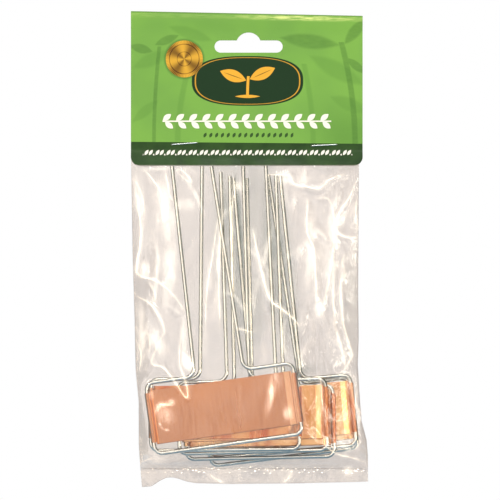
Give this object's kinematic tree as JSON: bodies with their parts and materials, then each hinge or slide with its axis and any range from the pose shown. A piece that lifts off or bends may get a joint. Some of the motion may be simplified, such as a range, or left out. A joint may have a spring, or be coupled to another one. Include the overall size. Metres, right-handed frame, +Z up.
{
  "type": "plant label stake pack",
  "caption": "Hanging pack of bent-wire plant labels: wire stakes with rolled copper sheets in a clear film bag, closed by a stapled, folded header card with a hang slot.",
  "frame": {"origin": "centre of the hang slot's straight arms, midway between the header card's two panels", "axes": "+Z up the hanging pack, +X to the right of its front face, -Y out of its front face"},
  "size_m": [0.1106, 0.0186, 0.2217],
  "materials": {
    "card": "printed card, light green with a dark green band, satin",
    "film": "clear thin film, glossy, slightly hazy",
    "staple_steel": "plated round wire",
    "galvanised_wire": "galvanised, softly bright",
    "copper_sheet": "bare copper sheet, satin with fine rolling lines"
  },
  "bodies": {
    "pack": {"header_card": "card", "bag": "film", "staple_left": "staple_steel", "staple_right": "staple_steel"},
    "stake_1": {"stake_wire_1": "galvanised_wire"},
    "label_1": {"copper_label_1": "copper_sheet"},
    "stake_2": {"stake_wire_2": "galvanised_wire"},
    "label_2": {"copper_label_2": "copper_sheet"},
    "stake_3": {"stake_wire_3": "galvanised_wire"},
    "label_3": {"copper_label_3": "copper_sheet"},
    "stake_4": {"stake_wire_4": "galvanised_wire"},
    "label_4": {"copper_label_4": "copper_sheet"},
    "stake_5": {"stake_wire_5": "galvanised_wire"},
    "label_5": {"copper_label_5": "copper_sheet"},
    "stake_6": {"stake_wire_6": "galvanised_wire"},
    "label_6": {"copper_label_6": "copper_sheet"}
  },
  "joints": [
    {"name": "stake_slide_1", "type": "slide", "parent": "pack", "child": "stake_1", "axis": [-0.1392, 0.0639, 0.9882], "range_m": [-0.002, 0.001]},
    {"name": "label_slide_1", "type": "slide", "parent": "stake_1", "child": "label_1", "axis": [-0.1392, 0.0639, 0.9882], "range_m": [-0.00182, 0.00098]},
    {"name": "stake_slide_2", "type": "slide", "parent": "pack", "child": "stake_2", "axis": [-0.0105, 0.0455, 0.9989], "range_m": [-0.004, 0.003]},
    {"name": "label_slide_2", "type": "slide", "parent": "stake_2", "child": "label_2", "axis": [-0.0105, 0.0455, 0.9989], "range_m": [-0.00231, 0.00049]},
    {"name": "stake_slide_3", "type": "slide", "parent": "pack", "child": "stake_3", "axis": [-0.0262, 0.0298, 0.9992], "range_m": [-0.003, 0.0035]},
    {"name": "label_slide_3", "type": "slide", "parent": "stake_3", "child": "label_3", "axis": [-0.0262, 0.0298, 0.9992], "range_m": [-0.00266, 0.00014]},
    {"name": "stake_slide_4", "type": "slide", "parent": "pack", "child": "stake_4", "axis": [-0.0209, 0.0142, 0.9997], "range_m": [-0.0012, 0.0035]},
    {"name": "label_slide_4", "type": "slide", "parent": "stake_4", "child": "label_4", "axis": [-0.0209, 0.0142, 0.9997], "range_m": [-0.00259, 0.00021]},
    {"name": "stake_slide_5", "type": "slide", "parent": "pack", "child": "stake_5", "axis": [-0.0906, -0.0015, 0.9959], "range_m": [-0.002, 0.0035]},
    {"name": "label_slide_5", "type": "slide", "parent": "stake_5", "child": "label_5", "axis": [-0.0906, -0.0015, 0.9959], "range_m": [-0.00266, 0.00014]},
    {"name": "stake_slide_6", "type": "slide", "parent": "pack", "child": "stake_6", "axis": [-0.1236, -0.0204, 0.9921], "range_m": [0, 0.0035]},
    {"name": "label_slide_6", "type": "slide", "parent": "stake_6", "child": "label_6", "axis": [-0.1236, -0.0204, 0.9921], "range_m": [-0.00182, 0.00098]}
  ]
}
